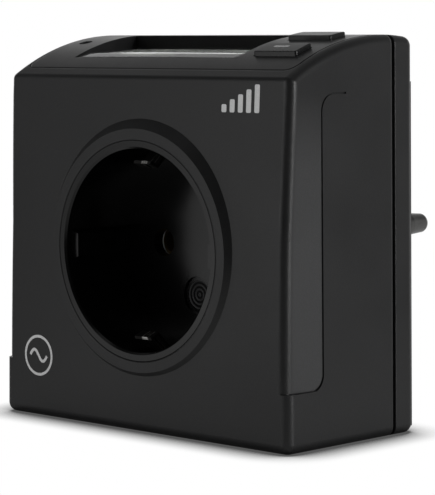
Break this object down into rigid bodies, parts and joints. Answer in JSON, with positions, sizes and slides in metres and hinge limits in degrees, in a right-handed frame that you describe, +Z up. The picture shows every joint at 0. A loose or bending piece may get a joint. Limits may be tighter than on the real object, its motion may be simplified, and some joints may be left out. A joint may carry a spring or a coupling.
{
  "type": "plug-in energy monitor",
  "caption": "Squarish plug-in energy monitor: round mains socket in front, mains plug behind, curved roof with display window, small keys and a reset hole.",
  "frame": {"origin": "middle of the bounding box on the floor that the meter stands on", "axes": "+X to the right seen from the socket, +Y back along the plug's pins, +Z up"},
  "size_m": [0.0792, 0.0782, 0.0784],
  "materials": {
    "shell": "fine moulded texture, charcoal",
    "panel": "fine moulded texture, charcoal",
    "key": "satin, charcoal",
    "clear_lens": "polished clear plastic",
    "display_glass": "grey-green reflective display",
    "white_plastic": "plain moulded",
    "contact_rubber": "striped contact rubber",
    "board": "green solder resist",
    "chip": "moulded epoxy",
    "screw_steel": "zinc plated",
    "switch_body": "moulded",
    "contact_brass": "rolled sheet",
    "shunt_alloy": "resistance alloy",
    "nickel": "nickel plated",
    "capacitor_film": "moulded box",
    "capacitor_can": "sleeved can",
    "disc_lacquer": "dipped lacquer",
    "resistor_body": "lacquered",
    "cell_sleeve": "sleeved cells",
    "ribbon": "flat cable"
  },
  "bodies": {
    "meter": {"front_housing": "shell", "rear_cover": "shell", "top_panel": "panel", "display_lens": "clear_lens", "lcd_glass": "display_glass", "lcd_holder": "white_plastic", "zebra_strips": "contact_rubber", "display_board": "board", "display_chip": "chip", "display_screws": "screw_steel", "tact_switches": "switch_body", "socket_insert": "shell", "socket_screw": "screw_steel", "socket_earth_clip": "nickel", "contact_carrier": "white_plastic", "live_contact": "contact_brass", "neutral_contact": "contact_brass", "live_strip": "contact_brass", "shunt_strip": "shunt_alloy", "live_pin": "nickel", "neutral_pin": "nickel", "plug_earth_clip": "nickel", "earth_link": "contact_brass", "main_board": "board", "main_board_screws": "screw_steel", "housing_screws": "screw_steel", "dropper_capacitor": "capacitor_film", "smoothing_capacitor": "capacitor_can", "varistor": "disc_lacquer", "fuse_resistor": "resistor_body", "backup_cells": "cell_sleeve", "metering_chip": "chip", "ribbon_cable": "ribbon"},
    "front_button": {"front_key": "key", "front_key_stem": "switch_body"},
    "rear_button": {"rear_key": "key", "rear_key_stem": "switch_body"},
    "reset_button": {"reset_key": "key", "reset_key_stem": "switch_body"}
  },
  "joints": [
    {"name": "front_key_press", "type": "slide", "parent": "meter", "child": "front_button", "axis": [0, 0.1097, -0.994], "range_m": [0, 0.0005], "stiffness_N_per_m": 2400},
    {"name": "rear_key_press", "type": "slide", "parent": "meter", "child": "rear_button", "axis": [0, 0.1097, -0.994], "range_m": [0, 0.0005], "stiffness_N_per_m": 2400},
    {"name": "reset_key_press", "type": "slide", "parent": "meter", "child": "reset_button", "axis": [0, 0.1097, -0.994], "range_m": [0, 0.0005], "stiffness_N_per_m": 2400}
  ]
}
